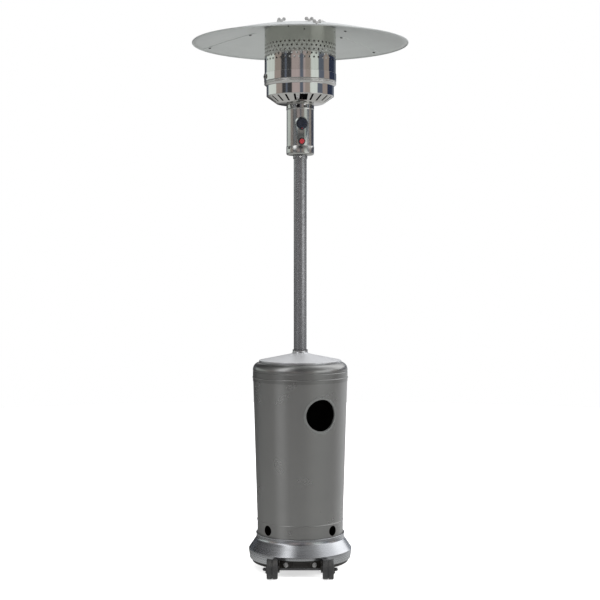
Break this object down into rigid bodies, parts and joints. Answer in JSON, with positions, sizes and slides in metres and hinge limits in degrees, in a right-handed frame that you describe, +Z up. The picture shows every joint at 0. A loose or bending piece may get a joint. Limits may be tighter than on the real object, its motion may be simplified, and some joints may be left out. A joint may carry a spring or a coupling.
{
  "type": "patio heater",
  "caption": "Free-standing outdoor gas heater: a dish reflector over a cylindrical emitter, a control housing on a pole, and a lift-up gas bottle cover on a wheeled base.",
  "frame": {"origin": "on the floor, on the pole's axis, under the feet", "axes": "+Z up along the pole, -Y to the front where the wheels and the controls are, +X to the right seen from the front"},
  "size_m": [0.8419, 0.842, 2.134],
  "materials": {
    "black_paint": "satin black powder coat",
    "foot_rubber": "moulded rubber",
    "trim_steel": "spun steel, brushed round",
    "zinc_steel": "zinc plated",
    "bright_screw": "bright plated",
    "wheel_plastic": "black moulded",
    "black_plastic": "black moulded",
    "hammered_paint": "speckled hammered grey",
    "grey_paint": "satin metallic grey",
    "polished_steel": "mirror polished stainless steel",
    "dial_steel": "polished plate",
    "knob_plastic": "glossy navy black",
    "red_plastic": "glossy red",
    "brass": "turned",
    "valve_alloy": "die cast",
    "copper_tube": "drawn tube",
    "burner_steel": "heat darkened",
    "white_ceramic": "glazed",
    "reflector_aluminium": "satin sheet",
    "clamp_steel": "plated",
    "dark_zinc": "dark zinc plated"
  },
  "bodies": {
    "heater": {"base_plate": "black_paint", "top_mount_plate": "black_paint", "wheel_brackets": "black_paint", "base_feet": "foot_rubber", "base_trim_ring": "trim_steel", "wheel_axle": "zinc_steel", "leg_left": "zinc_steel", "leg_right": "zinc_steel", "leg_back": "zinc_steel", "reflector_studs": "zinc_steel", "stud_spacers": "zinc_steel", "bracket_bolts": "bright_screw", "leg_bolts": "bright_screw", "flange_bolts": "bright_screw", "pole_screws": "bright_screw", "collar_screw": "bright_screw", "cap_screws": "bright_screw", "axle_nuts": "black_plastic", "tilt_switch": "black_plastic", "igniter_bezel": "black_plastic", "pole": "hammered_paint", "pole_flange": "hammered_paint", "pole_collar": "hammered_paint", "housing_cap": "polished_steel", "control_housing": "polished_steel", "vent_collar": "polished_steel", "burner_cone": "polished_steel", "burner_drum": "polished_steel", "emitter_screen": "polished_steel", "emitter_band": "polished_steel", "emitter_top": "polished_steel", "dial_plate": "dial_steel", "valve_inlet": "brass", "injector": "brass", "gas_valve": "valve_alloy", "gas_riser": "copper_tube", "thermocouple": "copper_tube", "mixing_tube": "burner_steel", "burner_head": "burner_steel", "pilot_burner": "burner_steel", "igniter_electrode": "white_ceramic", "piezo_igniter": "white_ceramic", "reflector_centre_plate": "reflector_aluminium", "reflector_panel_right": "reflector_aluminium", "reflector_panel_left": "reflector_aluminium", "reflector_panel_back": "reflector_aluminium", "band_clamp": "clamp_steel", "panel_fasteners": "dark_zinc"},
    "cover": {"cylinder_cover": "grey_paint", "cover_shoulder": "grey_paint", "cover_lid": "grey_paint", "lid_bush": "black_plastic", "lid_screws": "bright_screw", "access_hole_trim": "grey_paint"},
    "wheel_l": {"wheel_left": "wheel_plastic"},
    "wheel_r": {"wheel_right": "wheel_plastic"},
    "stem": {"valve_stem": "brass"},
    "knob": {"control_knob": "knob_plastic", "knob_pointer": "red_plastic"},
    "button": {"igniter_button": "red_plastic"}
  },
  "joints": [
    {"name": "cover_lift", "type": "slide", "parent": "heater", "child": "cover", "axis": [0, 0, 1], "range_m": [0, 0.6]},
    {"name": "wheel_left_spin", "type": "hinge", "parent": "heater", "child": "wheel_l", "pos_m": [-0.106, -0.21219, 0.0385], "axis": [1, 0, 0], "continuous": true},
    {"name": "wheel_right_spin", "type": "hinge", "parent": "heater", "child": "wheel_r", "pos_m": [0.106, -0.21219, 0.0385], "axis": [1, 0, 0], "continuous": true},
    {"name": "knob_push", "type": "slide", "parent": "heater", "child": "stem", "axis": [-0.1132, 0.9936, 0], "range_m": [0, 0.003], "stiffness_N_per_m": 1200, "springref_m": -0.003},
    {"name": "knob_turn", "type": "hinge", "parent": "stem", "child": "knob", "pos_m": [0.00736, -0.06458, 1.735], "axis": [0.1132, -0.9936, 0], "range_deg": [0, 200]},
    {"name": "button_push", "type": "slide", "parent": "heater", "child": "button", "axis": [-0.1132, 0.9936, 0], "range_m": [0, 0.005], "stiffness_N_per_m": 800, "springref_m": -0.003}
  ]
}
